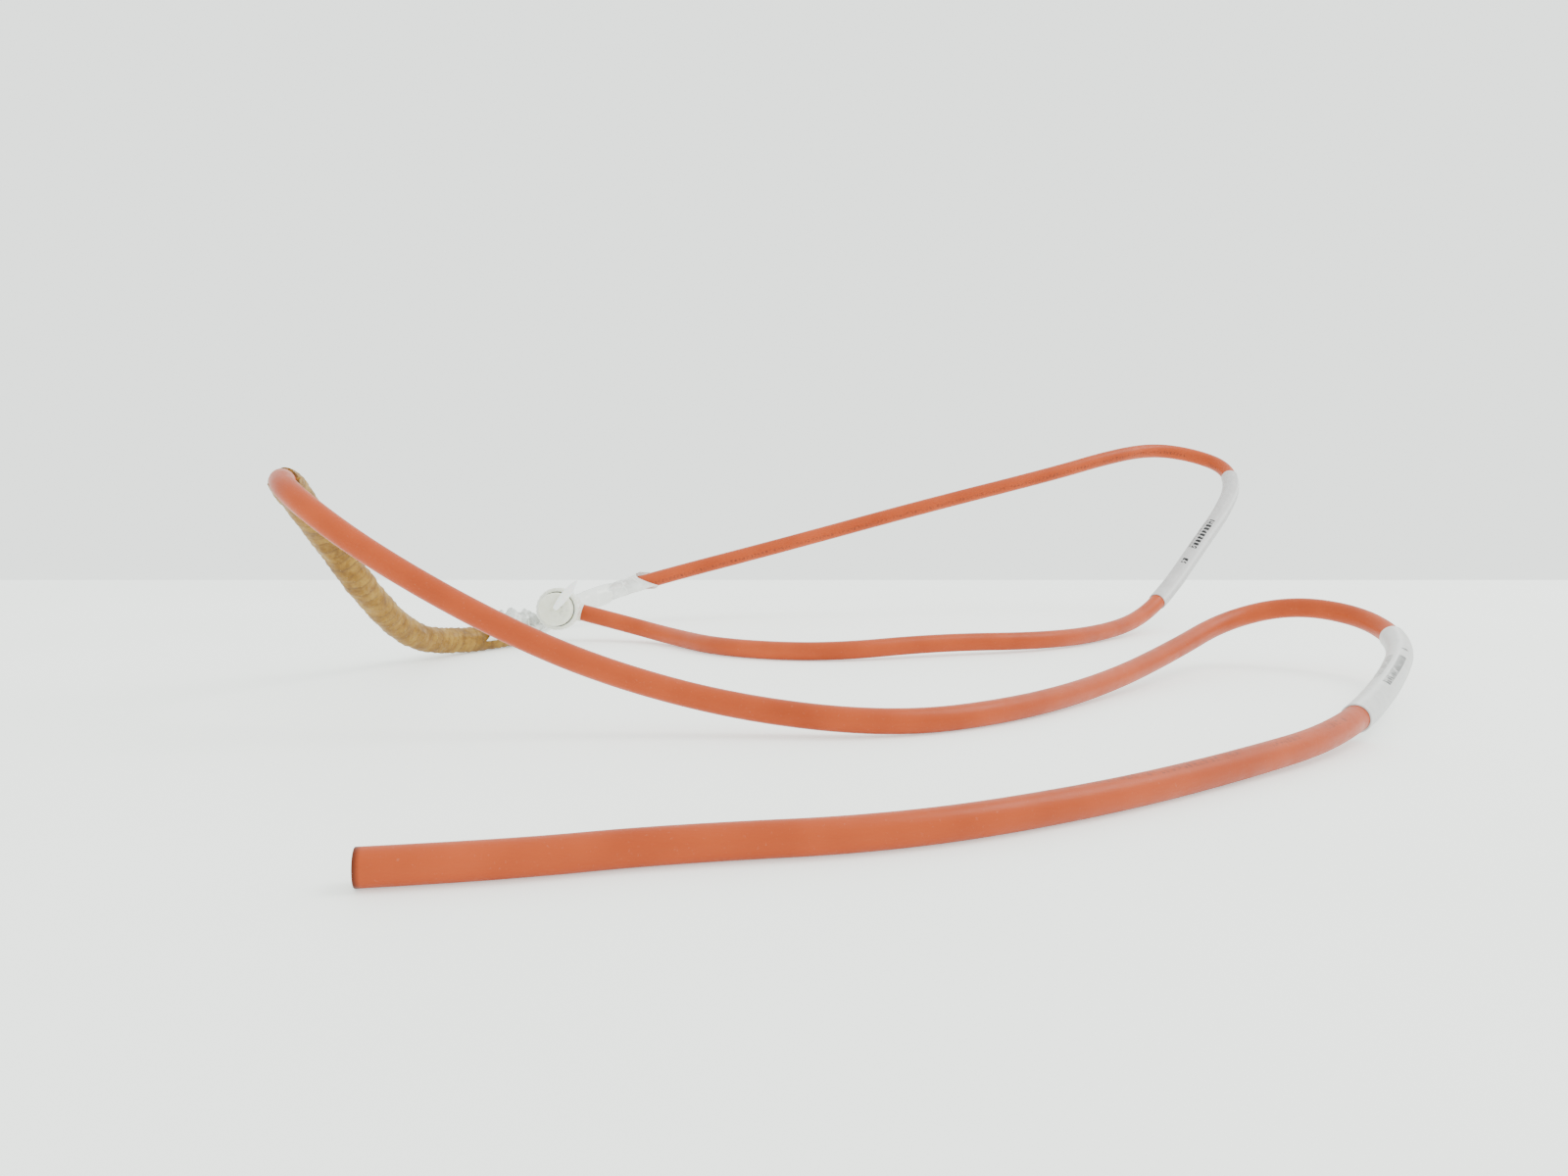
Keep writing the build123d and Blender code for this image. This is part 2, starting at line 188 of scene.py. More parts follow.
class Shader:
    """One material and the few node calls that the materials below are written with."""

    def __init__(self, name):
        self.material = bpy.data.materials.new(name)
        self.material.use_nodes = True
        self.tree = self.material.node_tree
        self.surface = self.tree.nodes["Principled BSDF"]

    def node(self, kind, inputs=(), **settings):
        made = self.tree.nodes.new(kind)
        for key, value in settings.items():
            setattr(made, key, value)
        for key, value in dict(inputs).items():
            self.put(made.inputs[key], value)
        return made

    def put(self, socket, value):
        if isinstance(value, bpy.types.NodeSocket):
            self.tree.links.new(value, socket)
        else:
            socket.default_value = value

    def math(self, operation, a, b=0.0):
        return self.node("ShaderNodeMath", {0: a, 1: b}, operation=operation).outputs[0]

    def noise(self, scale, detail=3.0, roughness=0.5, vector=None):
        made = self.node(
            "ShaderNodeTexNoise", {"Scale": scale, "Detail": detail, "Roughness": roughness}
        )
        self.put(made.inputs["Vector"], vector or self.place())
        return made.outputs["Fac"]

    def place(self):
        return self.node("ShaderNodeTexCoord").outputs["Object"]

    def ramp(self, value, stops):
        made = self.node("ShaderNodeValToRGB", {"Fac": value})
        elements = made.color_ramp.elements
        while len(elements) < len(stops):
            elements.new(0.5)
        for element, (position, colour) in zip(elements, stops):
            element.position = position
            element.color = (*colour, 1)
        return made.outputs["Color"]

    def mask(self, value, low, high):
        """0 below low, 1 above high, with a straight slope between."""
        return self.node(
            "ShaderNodeMapRange", {"Value": value, "From Min": low, "From Max": high}
        ).outputs["Result"]

    def mix(self, factor, a, b):
        """Colour a where factor is 0 and b where it is 1. Sockets 6, 7 and output 2 are the colour ones."""
        made = self.node("ShaderNodeMix", data_type="RGBA")
        self.put(made.inputs[0], factor)
        for socket, value in ((made.inputs[6], a), (made.inputs[7], b)):
            self.put(socket, (*value, 1) if isinstance(value, tuple) else value)
        return made.outputs[2]

    def lay(self):
        """Angle round the cord in radians, and distance along it in metres."""
        split = self.node(
            "ShaderNodeSeparateXYZ",
            {0: self.node("ShaderNodeAttribute", attribute_name="lay").outputs["Vector"]},
        )
        angle = self.math("ARCTAN2", split.outputs["Y"], split.outputs["X"])
        return angle, split.outputs["Z"]

    def bump(self, height, distance, strength=1.0, before=None):
        made = self.node(
            "ShaderNodeBump", {"Height": height, "Distance": distance, "Strength": strength}
        )
        if before is not None:
            self.put(made.inputs["Normal"], before)
        return made.outputs["Normal"]

    def set(self, **values):
        for key, value in values.items():
            self.put(self.surface.inputs[key.replace("_", " ")], value)
        return self.material


# Share of the pitch that a printed mark takes, and share of the groups that are printed
MARK_SHARE = 0.72
GROUP_SHARE = 0.8


def print_marks(shader, angle, along, radius, centre, half_height, cell, pitch, fill, group, span=None):
    """A row of small block marks, unreadable, in uneven groups, within a span of the cord if it has one."""
    arc = shader.math("MULTIPLY", shader.math("SUBTRACT", angle, centre), radius)
    inside = shader.math("LESS_THAN", shader.math("ABSOLUTE", arc), half_height)
    column = shader.math("FLOOR", shader.math("DIVIDE", along, cell))
    row = shader.math("FLOOR", shader.math("DIVIDE", arc, cell))
    spot = shader.node("ShaderNodeCombineXYZ", {"X": column, "Y": row})
    random_spot = shader.node(
        "ShaderNodeTexWhiteNoise", {"Vector": spot.outputs[0]}, noise_dimensions="2D"
    )
    inked = shader.math("LESS_THAN", random_spot.outputs["Value"], fill)
    in_pitch = shader.math("FRACT", shader.math("DIVIDE", along, pitch))
    in_mark = shader.math("LESS_THAN", in_pitch, MARK_SHARE)
    run = shader.node(
        "ShaderNodeTexWhiteNoise",
        {"W": shader.math("FLOOR", shader.math("DIVIDE", along, group))},
        noise_dimensions="1D",
    )
    grouped = shader.math("LESS_THAN", run.outputs["Value"], GROUP_SHARE)
    marks = shader.math("MULTIPLY", shader.math("MULTIPLY", inside, inked), in_mark)
    marks = shader.math("MULTIPLY", marks, grouped)
    if span is not None:
        middle = shader.math("SUBTRACT", along, (span[0] + span[1]) / 2)
        within = shader.math("LESS_THAN", shader.math("ABSOLUTE", middle), (span[1] - span[0]) / 2)
        marks = shader.math("MULTIPLY", marks, within)
    return marks


# ---- materials ----

def orange_jacket():
    s = Shader("orange_jacket")
    angle, along = s.lay()
    deep, bright = (0.33, 0.052, 0.013), (0.42, 0.072, 0.019)
    ink_colour, scuffed, painted_cut_shade = (0.05, 0.025, 0.02), (0.75, 0.45, 0.35), (0.05, 0.012, 0.006)
    colour = s.ramp(s.noise(55, 2), [(0.3, deep), (0.7, bright)])
    ink = print_marks(
        s, angle, along, JACKET_R, centre=0.0, half_height=0.0007, cell=0.00042, pitch=0.0017,
        fill=0.62, group=0.011,
    )
    worn = s.mask(s.noise(900, 2), 0.3, 0.75)
    ink = s.math("MULTIPLY", s.math("MULTIPLY", ink, worn), 0.75)
    colour = s.mix(ink, colour, ink_colour)
    scuff = s.mask(s.noise(1400, 4, 0.65), 0.62, 0.78)
    colour = s.mix(s.math("MULTIPLY", scuff, 0.12), colour, scuffed)
    stretched = s.node("ShaderNodeCombineXYZ", {"X": angle, "Y": s.math("MULTIPLY", along, 60)})
    draw_lines = s.noise(6, 3, 0.5, stretched.outputs[0])
    # Painted shade: the jacket colour is darkened within about a millimetre of the bare cut end, standing in
    # for the shaded cut face
    painted_cut_shade_mask = s.mask(along, 0.0011, 0.0003)
    colour = s.mix(s.math("MULTIPLY", painted_cut_shade_mask, 0.8), colour, painted_cut_shade)
    pits = s.noise(2600, 2)
    relief = s.bump(pits, 0.00003, 0.5, s.bump(draw_lines, 0.00010, 0.5))
    rough = s.mask(s.noise(300, 3), -0.75, 2.6)
    return s.set(
        Base_Color=colour, Roughness=rough, Normal=relief, Specular_IOR_Level=0.12,
        Subsurface_Weight=0.06, Subsurface_Radius=(0.8, 0.3, 0.15), Subsurface_Scale=0.0012,
    )


# One printed row: where it runs round the label in radians, its sizes and the stretch of cord it takes
PrintRow = namedtuple("PrintRow", "centre half_height cell pitch fill strength span")
LABEL_GROUP = 0.0065


def label_white(name, rows, base, painted_highlight_angle):
    s = Shader(name)
    angle, along = s.lay()
    shaded, ink_colour, painted_highlight_colour = tuple(0.86 * c for c in base), (0.008, 0.008, 0.01), (0.9, 0.9, 0.9)
    colour = s.ramp(s.noise(420, 4, 0.6), [(0.3, shaded), (0.7, base)])
    ink = 0.0
    for row in rows:
        marks = print_marks(
            s, angle, along, LABEL_PRINT_R, row.centre, row.half_height, row.cell, row.pitch,
            row.fill, LABEL_GROUP, row.span,
        )
        ink = s.math("MAXIMUM", ink, s.math("MULTIPLY", marks, row.strength))
    ink = s.math("MULTIPLY", ink, s.mask(s.noise(1100, 3), 0.0, 0.35))
    colour = s.mix(ink, colour, ink_colour)
    # Painted highlight: a whitish band along the label at one fixed angle round the cord, standing in for the
    # gloss the light puts there
    painted_highlight_band = s.math("ABSOLUTE", s.math("SUBTRACT", angle, painted_highlight_angle))
    colour = s.mix(s.math("MULTIPLY", s.mask(painted_highlight_band, 0.35, 0.0), 0.4), colour, painted_highlight_colour)
    wrinkle = s.noise(240, 3, 0.55)
    relief = s.bump(s.noise(1800, 2), 0.00003, 0.4, s.bump(wrinkle, 0.00025, 0.45))
    return s.set(
        Base_Color=colour, Roughness=0.4, Normal=relief, Specular_IOR_Level=0.2,
    )


def amber_tape():
    s = Shader("amber_tape")
    lap = s.node("ShaderNodeAttribute", attribute_name="lap").outputs["Fac"]
    deep, amber, pale = (0.12, 0.050, 0.003), (0.21, 0.100, 0.007), (0.33, 0.19, 0.028)
    grain_colour, edge_colour, glue_colour = (0.42, 0.28, 0.09), (0.12, 0.055, 0.012), (0.28, 0.135, 0.012)
    colour = s.ramp(s.noise(230, 4, 0.6), [(0.28, deep), (0.48, amber), (0.72, pale)])
    fine = s.noise(900, 4, 0.7)
    colour = s.mix(s.math("MULTIPLY", s.mask(fine, 0.45, 0.7), 0.2), colour, grain_colour)
    edge = s.math("MULTIPLY", s.mask(lap, 0.34, 0.0), s.mask(s.noise(150, 2), 0.2, 0.5))
    colour = s.mix(s.math("MULTIPLY", edge, 0.9), colour, edge_colour)
    glue = s.mask(s.noise(120, 3), 0.56, 0.74)
    colour = s.mix(s.math("MULTIPLY", glue, 0.5), colour, glue_colour)
    relief = s.bump(fine, 0.0001, 0.5, s.bump(s.noise(420, 3), 0.0004, 0.55))
    rough = s.mask(s.noise(500, 2), -0.5, 1.7)
    return s.set(
        Base_Color=colour, Roughness=rough, Normal=relief, Specular_IOR_Level=0.25,
        Subsurface_Weight=0.04, Subsurface_Radius=(1.0, 0.6, 0.2), Subsurface_Scale=0.0012,
        Coat_Weight=0.04, Coat_Roughness=0.2,
    )


def film(name, low_alpha, high_alpha, tint, crease_scale):
    """Clear or milky wrapping film: creases are whiter and less clear than the flat parts."""
    s = Shader(name)
    cells = s.node(
        "ShaderNodeTexVoronoi",
        {"Vector": s.place(), "Scale": crease_scale},
        feature="DISTANCE_TO_EDGE",
    )
    crease = s.mask(cells.outputs["Distance"], 0.09, 0.0)
    cloudy = s.mask(s.noise(crease_scale * 0.8, 3), 0.35, 0.7)
    whiteness = s.math("MAXIMUM", crease, cloudy)
    alpha = s.node(
        "ShaderNodeMapRange", {"Value": whiteness, "To Min": low_alpha, "To Max": high_alpha}
    ).outputs["Result"]
    colour = s.mix(cloudy, tint, (0.88, 0.9, 0.88))
    relief = s.bump(cells.outputs["Distance"], 0.0004, 0.35, s.bump(s.noise(900, 2), 0.00005, 0.35))
    return s.set(
        Base_Color=colour, Alpha=alpha, Roughness=0.16, Normal=relief, Specular_IOR_Level=0.6,
    )


def milky_plastic(name, tint, dark_patch_at=None, warm=(0.70, 0.70, 0.55)):
    s = Shader(name)
    cloudy = s.noise(260, 3)
    colour = s.ramp(cloudy, [(0.3, warm), (0.7, tint)])
    # Optionally a darker grey patch, broken up by noise, within a few millimetres of a given point
    if dark_patch_at is not None:
        offset = s.node("ShaderNodeVectorMath", {0: s.place(), 1: dark_patch_at}, operation="DISTANCE")
        near = s.mask(offset.outputs["Value"], 0.0042, 0.001)
        dark_patch = s.math("MULTIPLY", near, s.mask(s.noise(650, 4, 0.7), 0.47, 0.62))
        colour = s.mix(s.math("MULTIPLY", dark_patch, 0.65), colour, (0.27, 0.27, 0.24))
    relief = s.bump(s.noise(1600, 3), 0.00004, 0.5, s.bump(s.noise(300, 2), 0.0001, 0.3))
    return s.set(
        Base_Color=colour, Roughness=0.33, Normal=relief, Specular_IOR_Level=0.5,
        Subsurface_Weight=0.35, Subsurface_Radius=(1, 1, 0.8), Subsurface_Scale=0.002,
    )


def metal(name, colour, roughness):
    s = Shader(name)
    tone = s.ramp(s.noise(500, 3), [(0.3, tuple(0.8 * c for c in colour)), (0.7, colour)])
    return s.set(
        Base_Color=tone, Metallic=1.0, Roughness=roughness,
        Normal=s.bump(s.noise(2500, 3, 0.7), 0.00003, 0.5),
    )


def plain(name, dark, light, roughness, grain, depth=0.00005, **more):
    """A material that varies gently between two colours, with a fine grain."""
    s = Shader(name)
    tone = s.ramp(s.noise(grain, 4, 0.6), [(0.3, dark), (0.7, light)])
    return s.set(
        Base_Color=tone, Roughness=roughness, Normal=s.bump(s.noise(grain * 3, 3), depth, 0.6), **more
    )


def table_white():
    """The table glows a little, so that it comes out nearly as white as in the photo."""
    return plain(
        "table_white", (0.80, 0.825, 0.80), (0.84, 0.86, 0.845), 0.55, 9, 0.0001,
        Emission_Color=(0.96, 1.0, 0.965, 1), Emission_Strength=0.6,
    )


def clear_fibre():
    return plain(
        "clear_fibre", (0.82, 0.85, 0.86), (0.92, 0.94, 0.95), 0.08, 200, 0.00001,
        Transmission_Weight=0.8, IOR=1.49,
    )


def tab_white():
    return plain(
        "tab_white", (0.92, 0.93, 0.92), (0.98, 0.98, 0.97), 0.2, 600, 0.00002,
        Subsurface_Weight=0.2, Subsurface_Scale=0.001,
    )


# ---- the cord's line ----

def route_points():
    """Points of the smooth cord line, read from a quadratic NURBS spline that the route guides."""
    curve = bpy.data.curves.new("route", "CURVE")
    curve.dimensions = "3D"
    curve.resolution_u = 32
    spline = curve.splines.new("NURBS")
    spline.points.add(len(ROUTE) - 1)
    for point, place in zip(spline.points, ROUTE):
        point.co = (*place, 1)
    spline.order_u = 3
    spline.use_endpoint_u = True
    holder = bpy.data.objects.new("route", curve)
    bpy.context.scene.collection.objects.link(holder)
    bpy.context.view_layer.update()
    mesh = bpy.data.meshes.new_from_object(holder)
    points = [vertex.co.copy() for vertex in mesh.vertices]
    bpy.data.objects.remove(holder)
    return points


class CordLine:
    """The cord's centreline: place, direction and an upright frame at any distance along it."""

    def __init__(self, points):
        self.points = points
        self.marks = [0.0]
        for a, b in zip(points, points[1:]):
            self.marks.append(self.marks[-1] + (b - a).length)
        self.length = self.marks[-1]
        self.directions = []
        last = len(points) - 1
        for i in range(len(points)):
            self.directions.append((points[min(i + 1, last)] - points[max(i - 1, 0)]).normalized())
        self.found = 0

    def at(self, distance):
        """Place, direction, up and side (to the right of the direction, seen from above)."""
        distance_in = min(max(distance, 0.0), self.length)
        i = self.found
        while i > 0 and self.marks[i] > distance_in:
            i -= 1
        while i < len(self.marks) - 2 and self.marks[i + 1] < distance_in:
            i += 1
        self.found = i
        share = (distance_in - self.marks[i]) / (self.marks[i + 1] - self.marks[i])
        place = self.points[i].lerp(self.points[i + 1], share)
        along = self.directions[i].lerp(self.directions[i + 1], share).normalized()
        place = place + along * (distance - distance_in)
        side = along.cross(Vector((0, 0, 1))).normalized()
        return place, along, side.cross(along), side

    def outward(self, distance, angle):
        place, along, up, side = self.at(distance)
        return place, up * math.cos(angle) + side * math.sin(angle)


line = CordLine(route_points())

# Distances along the cord and the angle round it at which its printed line runs there: the cord twists
PRINT_LINE = [
    (0.0, -2.4),
    (0.14, 0.3),
    (0.22, 0.45),
    (0.45, 0.9),
    (0.75, 2.4),
    (0.93, 1.95),
    (1.22, 1.75),
    (1.58, 3.0),
]


def print_angle(distance):
    for (start, a), (end, b) in zip(PRINT_LINE, PRINT_LINE[1:]):
        if distance <= end:
            return a + (b - a) * max(0.0, distance - start) / (end - start)
    return PRINT_LINE[-1][1]


# ---- mesh helpers ----

def make_piece(name, vertices, faces, material, body=ROOT, smooth_angle=40):
    mesh = bpy.data.meshes.new(name)
    mesh.from_pydata(vertices, [], faces)
    mesh.validate()
    mesh.shade_smooth()
    mesh.set_sharp_from_angle(angle=math.radians(smooth_angle))
    mesh.materials.append(material)
    piece = bpy.data.objects.new(name, mesh)
    bpy.context.scene.collection.objects.link(piece)
    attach(piece, body)
    return piece


def write_lay(piece, lay):
    """Store angle (as cosine and sine) and distance along the cord on each vertex."""
    attribute = piece.data.attributes.new("lay", "FLOAT_VECTOR", "POINT")
    for item, value in zip(attribute.data, lay):
        item.vector = value


def ring_faces(rings, sides, closed):
    faces = []
    for ring in range(rings if closed else rings - 1):
        for side in range(sides):
            after = (side + 1) % sides
            near = ring * sides
            far = ((ring + 1) % rings) * sides
            faces.append((near + side, near + after, far + after, far + side))
    return faces


# Shares of a rounded lip's length at which it has extra rings
LIP_SHARES = (0.0, 0.15, 0.5, 1.0)


def stations(start, end, step, lip):
    """Distances from start to end, with a few extra close to each end for a rounded lip."""
    count = max(2, round((end - start) / step))
    near = [lip * share for share in LIP_SHARES] if lip else [0.0]
    middle = [start + lip + (end - start - 2 * lip) * i / count for i in range(1, count)]
    return [start + d for d in near] + middle + [end - d for d in reversed(near)]


def lip_drop(distance, start, end, lip):
    """How far a rounded end lip lies under the full radius."""
    to_end = min(distance - start, end - distance)
    if lip == 0 or to_end >= lip:
        return 0.0
    return lip * (1 - math.sqrt(max(0.0, 1 - (1 - to_end / lip) ** 2)))


def wall_tube(
    name, span, outer, inner, material, sides, step, lip=0.0, turn=None, end_shift=None, lap=None
):
    """A closed tube wall on the cord. outer and inner may be functions of distance and angle."""
    start, end = span
    outer_at = outer if callable(outer) else lambda distance, angle: outer
    inner_at = inner if callable(inner) else lambda distance, angle: inner
    vertices, lay, laps = [], [], []
    out_stations = stations(start, end, step, lip)
    passes = [(d, True) for d in out_stations] + [(d, False) for d in reversed(out_stations[::2])]
    for distance, is_outer in passes:
        offset = turn(distance) if turn else 0.0
        for side in range(sides):
            angle = 2 * math.pi * side / sides
            shifted = distance + (end_shift(distance, angle) if end_shift else 0.0)
            place, out = line.outward(shifted, angle)
            radius = inner_at(shifted, angle)
            if is_outer:
                radius = outer_at(shifted, angle) - lip_drop(distance, start, end, lip)
            spot = place + out * radius
            spot.z = max(spot.z, FLOOR)
            vertices.append(spot)
            lay.append((math.cos(angle - offset), math.sin(angle - offset), shifted))
            laps.append(lap(shifted, angle) if lap else 1.0)
    faces = ring_faces(len(passes), sides, closed=True)
    piece = make_piece(name, vertices, faces, material)
    write_lay(piece, lay)
    if lap:
        piece.data.attributes.new("lap", "FLOAT", "POINT").data.foreach_set("value", laps)
    return piece


def solid_tube(name, span, radius, material, sides, step):
    """A closed rod along the cord."""
    out_stations = stations(*span, step, 0.0)
    vertices = []
    for distance in out_stations:
        for side in range(sides):
            place, out = line.outward(distance, 2 * math.pi * side / sides)
            vertices.append(place + out * radius)
    faces = ring_faces(len(out_stations), sides, closed=False)
    faces.append(tuple(reversed(range(sides))))
    last = (len(out_stations) - 1) * sides
    faces.append(tuple(range(last, last + sides)))
    return make_piece(name, vertices, faces, material)


def sheet_piece(name, columns, rows, point_at, material, thickness):
    """A thin closed sheet from a grid: point_at(u, v) gives a place for u and v from 0 to 1."""
    grid = [
        point_at(column / (columns - 1), row / (rows - 1))
        for column in range(columns)
        for row in range(rows)
    ]
    faces = []
    for column in range(columns - 1):
        for row in range(rows - 1):
            corner = column * rows + row
            faces.append((corner, corner + 1, corner + rows + 1, corner + rows))
    piece = make_piece(name, grid, faces, material, smooth_angle=180)
    solidify = piece.modifiers.new("thickness", "SOLIDIFY")
    solidify.thickness = thickness
    solidify.offset = 0
    return piece


# ---- the cord ----

def build_cord(fibre_material):
    def jacket_radius(distance, angle):
        place = Vector((distance * 60, math.cos(angle), math.sin(angle)))
        return JACKET_R * (1 + 0.006 * noise.noise(place))

    jacket = wall_tube(
        "cord_jacket", (0, line.length), jacket_radius, JACKET_BORE, orange_jacket(),
        sides=32, step=0.0012, lip=0.00012, turn=print_angle,
    )
    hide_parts("outer_jacket")

    def yarn_radius(distance, angle):
        strands = 0.06 * MM * math.sin(9 * angle + distance * 350)
        return YARN_R + strands

    yarn = wall_tube(
        "yarn_layer", (0.0002, line.length), yarn_radius, YARN_BORE,
        plain("aramid_yarn", (0.32, 0.22, 0.05), (0.70, 0.53, 0.18), 0.6, 1800, 0.0001, Sheen_Weight=0.3),
        sides=36, step=0.002,
    )
    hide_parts("strength_yarn")
    buffer = wall_tube(
        "fibre_buffer", (0.0001, line.length), BUFFER_R, BUFFER_BORE,
        plain("black_buffer", (0.012, 0.012, 0.013), (0.03, 0.03, 0.032), 0.45, 900), sides=16, step=0.003,
    )
    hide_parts("inner_buffer")
    fibre = solid_tube("glass_fibre", (0, line.length), FIBRE_R, fibre_material, sides=12, step=0.003)
    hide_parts("optical_fibre")
    return jacket, [yarn, buffer, fibre]


# ---- label sleeves ----

LABEL_1_ROWS = [
    PrintRow(0.46, 0.0010, 0.0005, 0.0019, 0.85, 1.0, (0.246, 0.288)),
    PrintRow(-0.48, 0.0009, 0.0005, 0.0019, 0.75, 0.6, (0.252, 0.286)),
]
LABEL_2_ROWS = [
    PrintRow(0.42, 0.0010, 0.00036, 0.0011, 0.62, 0.75, (1.243, 1.276)),
    PrintRow(-0.30, 0.0011, 0.00055, 0.0021, 0.88, 1.0, (1.243, 1.284)),
]


def build_label(number, span, rows, base, painted_highlight_angle):
    def label_radius(distance, angle):
        spot = Vector((distance * 160, 1.5 * math.cos(angle), 1.5 * math.sin(angle) + number * 7))
        return LABEL_R + 0.07 * MM * noise.noise(spot)

    label = wall_tube(
        f"label_{number}", span, label_radius, SLEEVE_BORE,
        label_white(f"label_{number}", rows, base, painted_highlight_angle), sides=40, step=0.001, lip=0.0002,
    )
    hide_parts(f"label_sleeve_{number}")
    return label


def build_labels():
    return [
        build_label(1, LABEL_1, LABEL_1_ROWS, base=(0.60, 0.595, 0.59), painted_highlight_angle=0.1),
        build_label(2, LABEL_2, LABEL_2_ROWS, base=(0.50, 0.485, 0.49), painted_highlight_angle=-1.15),
    ]


# ---- amber tape over its guard sleeve ----

TAPE_PITCH = 0.0031
TAPE_TAPER = 0.0045
TAPE_BORE = 3.72 * MM
TAPE_R = 3.92 * MM
TAPE_LEAST_R = 3.8 * MM
TAPE_LAP_RISE = 0.42 * MM
TAPE_TAPER_DROP = 0.45 * MM

# How far in from the tape's two ends its torn edges still shift it
TORN_START_REACH = 0.008
TORN_END_REACH = 0.012


def tape_climb(distance, angle):
    """How far a wound turn has climbed over the one before, from 0 at its edge to 1."""
    uneven = 0.55 * noise.noise(Vector((distance * 130, 0, 2)))
    tilted = 0.16 * math.sin(angle + distance * 45)
    return (distance / TAPE_PITCH + angle / (2 * math.pi) + uneven + tilted) % 1.0


def tape_taper(distance):
    """0 in the body of the winding, 1 at its two ends, where it lies on the cord itself."""
    to_end = min(distance - TAPE[0], TAPE[1] - distance)
    return min(1.0, max(0.0, 1 - to_end / TAPE_TAPER))


def tape_radius(distance, angle):
    spot = Vector((distance * 190, 1.4 * math.cos(angle), 1.4 * math.sin(angle)))
    fine = Vector((distance * 900, 5 * math.cos(angle), 5 * math.sin(angle)))
    wrinkle = (0.36 * noise.noise(spot) + 0.08 * noise.noise(fine)) * MM
    radius = TAPE_R + TAPE_LAP_RISE * tape_climb(distance, angle) + wrinkle
    return max(TAPE_LEAST_R, radius) - TAPE_TAPER_DROP * tape_taper(distance) ** 2


def tape_bore(distance, angle):
    return TAPE_BORE - (TAPE_BORE - SLEEVE_BORE) * min(1.0, 2 * tape_taper(distance))


def tape_end(distance, angle):
    """How far along the cord the tape is shifted, so that its last turn ends torn and slanting."""
    start, end = TAPE
    near_end = max(0.0, 1 - (end - distance) / TORN_END_REACH)
    near_start = max(0.0, 1 - (distance - start) / TORN_START_REACH)
    torn = noise.noise(Vector((3 * math.cos(angle), 3 * math.sin(angle), 4.0)))
    slant = 0.0022 * math.sin(angle - 0.8)
    return near_end * (slant + 0.0025 * torn) - near_start * 0.002 * torn


def build_tape():
    tape_material = amber_tape()
    tape = wall_tube(
        "amber_wrap", TAPE, tape_radius, tape_bore, tape_material, sides=80, step=0.0003,
        end_shift=tape_end, lap=tape_climb,
    )
    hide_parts("amber_tape")
    guard = wall_tube(
        "guard_layer", (TAPE[0] + 0.003, TAPE[1] - 0.003), GUARD_R, SLEEVE_BORE,
        plain("guard_sleeve", (0.30, 0.24, 0.13), (0.50, 0.43, 0.28), 0.5, 400), sides=28, step=0.002,
    )
    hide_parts("guard_sleeve")

    return [tape, guard, build_tape_tongue(tape_material)]


def build_tape_tongue(tape_material):
    """A loose tongue of tape where the winding ends, curling out from the cord's side and below it."""
    columns, rows = 22, 16
    root_radius, least_height = 4.25 * MM, 0.0003

    def tongue(u, v):
        distance = TAPE[1] - 0.0015 - 0.009 * v + 0.004 * u
        angle = 1.5 + 1.5 * u
        lift = (1.9 * u * u + 0.5 * noise.noise(Vector((u * 3, v * 3, 1)))) * MM
        place, out = line.outward(distance, angle)
        spot = place + out * (root_radius + lift)
        spot.z = max(spot.z, least_height)
        return spot

    piece = sheet_piece("tape_tongue", columns, rows, tongue, tape_material, thickness=0.00018)
    laps = [1.0] * (columns * rows)
    piece.data.attributes.new("lap", "FLOAT", "POINT").data.foreach_set("value", laps)
    return piece


# ---- clear film ----

def facets(place, seed):
    """Crumpled relief from 0 to 1: flat facets that meet in sharp creases."""
    spot = Vector(place) + Vector((seed * 3.1, seed * 1.7, seed * 0.9))
    near = noise.voronoi(spot)[0]
    return min(1.0, near[1] - near[0])


def build_crumple(material):
    """Clear film crumpled over the tape's end: u runs along the cord, v round its top."""
    root_radius = 4.3 * MM

    def crumple(u, v):
        start, end = FILM_CRUMPLE
        ragged = 0.006 * noise.noise(Vector((v * 3.5, 5, 2))) * (1 - u) ** 2
        distance = start + (end - start) * u + ragged
        angle = math.radians(-95 + 190 * v)
        rise = math.sin(math.pi * v) ** 1.3 * math.sin(math.pi * min(1, 0.12 + u * 0.9)) ** 0.6
        relief = facets((u * 5, v * 4.2, 0), 2) + 0.45 * facets((u * 11, v * 9, 0), 5)
        place, out = line.outward(distance, angle)
        lift = (0.25 + rise * (1.5 + 4.6 * relief)) * MM
        sway = 1.2 * MM * noise.noise(Vector((u * 6, v * 6, 9))) * rise
        return place + out * (root_radius + lift) + line.at(distance)[1] * sway

    piece = sheet_piece("film_crumple", 70, 62, crumple, material, thickness=0.00006)
    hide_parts("film_tuft")
    return piece


def build_wrap(material):
    """Milky film wound a little over once round the cord."""
    root_radius, turns = 3.35 * MM, 1.22

    def wrap(u, v):
        start, end = FILM_WRAP
        ragged = 0.0022 * noise.noise(Vector((v * 7, 1, 3)))
        distance = start + (end - start) * u + ragged * (1 if u > 0.5 else -1)
        angle = 0.6 + 2 * math.pi * turns * v + 0.9 * u
        relief = facets((u * 7, v * 6, 0), 8)
        spiral = 0.4 * v + 0.9 * relief * math.sin(math.pi * u) + 0.3 * math.sin(u * 9 + angle * 2)
        place, out = line.outward(distance, angle)
        return place + out * (root_radius + max(0.0, spiral) * MM)

    piece = sheet_piece("film_wrap", 90, 70, wrap, material, thickness=0.00006)
    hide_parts("film_sleeve")
    return piece


